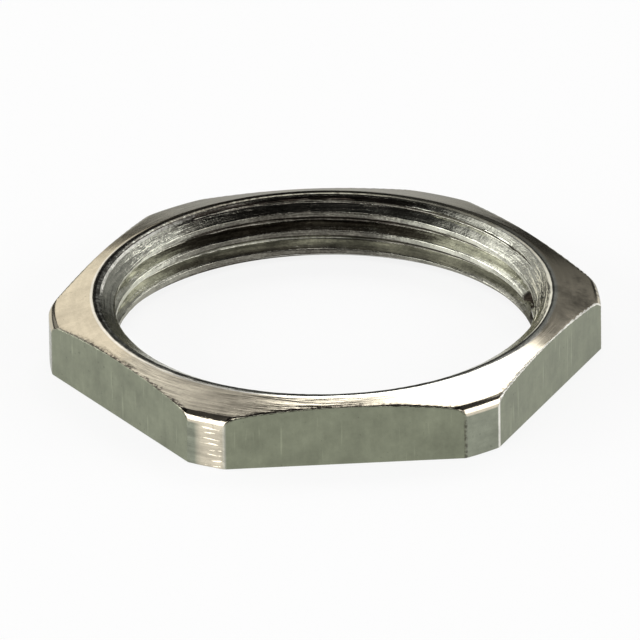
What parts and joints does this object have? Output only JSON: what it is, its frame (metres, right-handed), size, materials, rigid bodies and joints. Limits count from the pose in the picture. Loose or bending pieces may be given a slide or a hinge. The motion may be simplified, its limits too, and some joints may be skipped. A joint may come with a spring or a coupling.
{
  "type": "cable gland locknut",
  "caption": "Thin hexagonal locknut with a fine metric thread; it clamps a cable gland or conduit fitting to the wall of an enclosure.",
  "frame": {"origin": "centre of the flat bearing face, on the thread's axis", "axes": "+Z along the thread's axis, from the bearing face to the crowned face; two opposite corners lie on X and two opposite flats face -Y and +Y"},
  "size_m": [0.04, 0.036, 0.0049],
  "materials": {
    "nickel_plated_brass": "bright nickel plate over machined brass, satin"
  },
  "bodies": {
    "root": {"locknut": "nickel_plated_brass"}
  },
  "joints": []
}
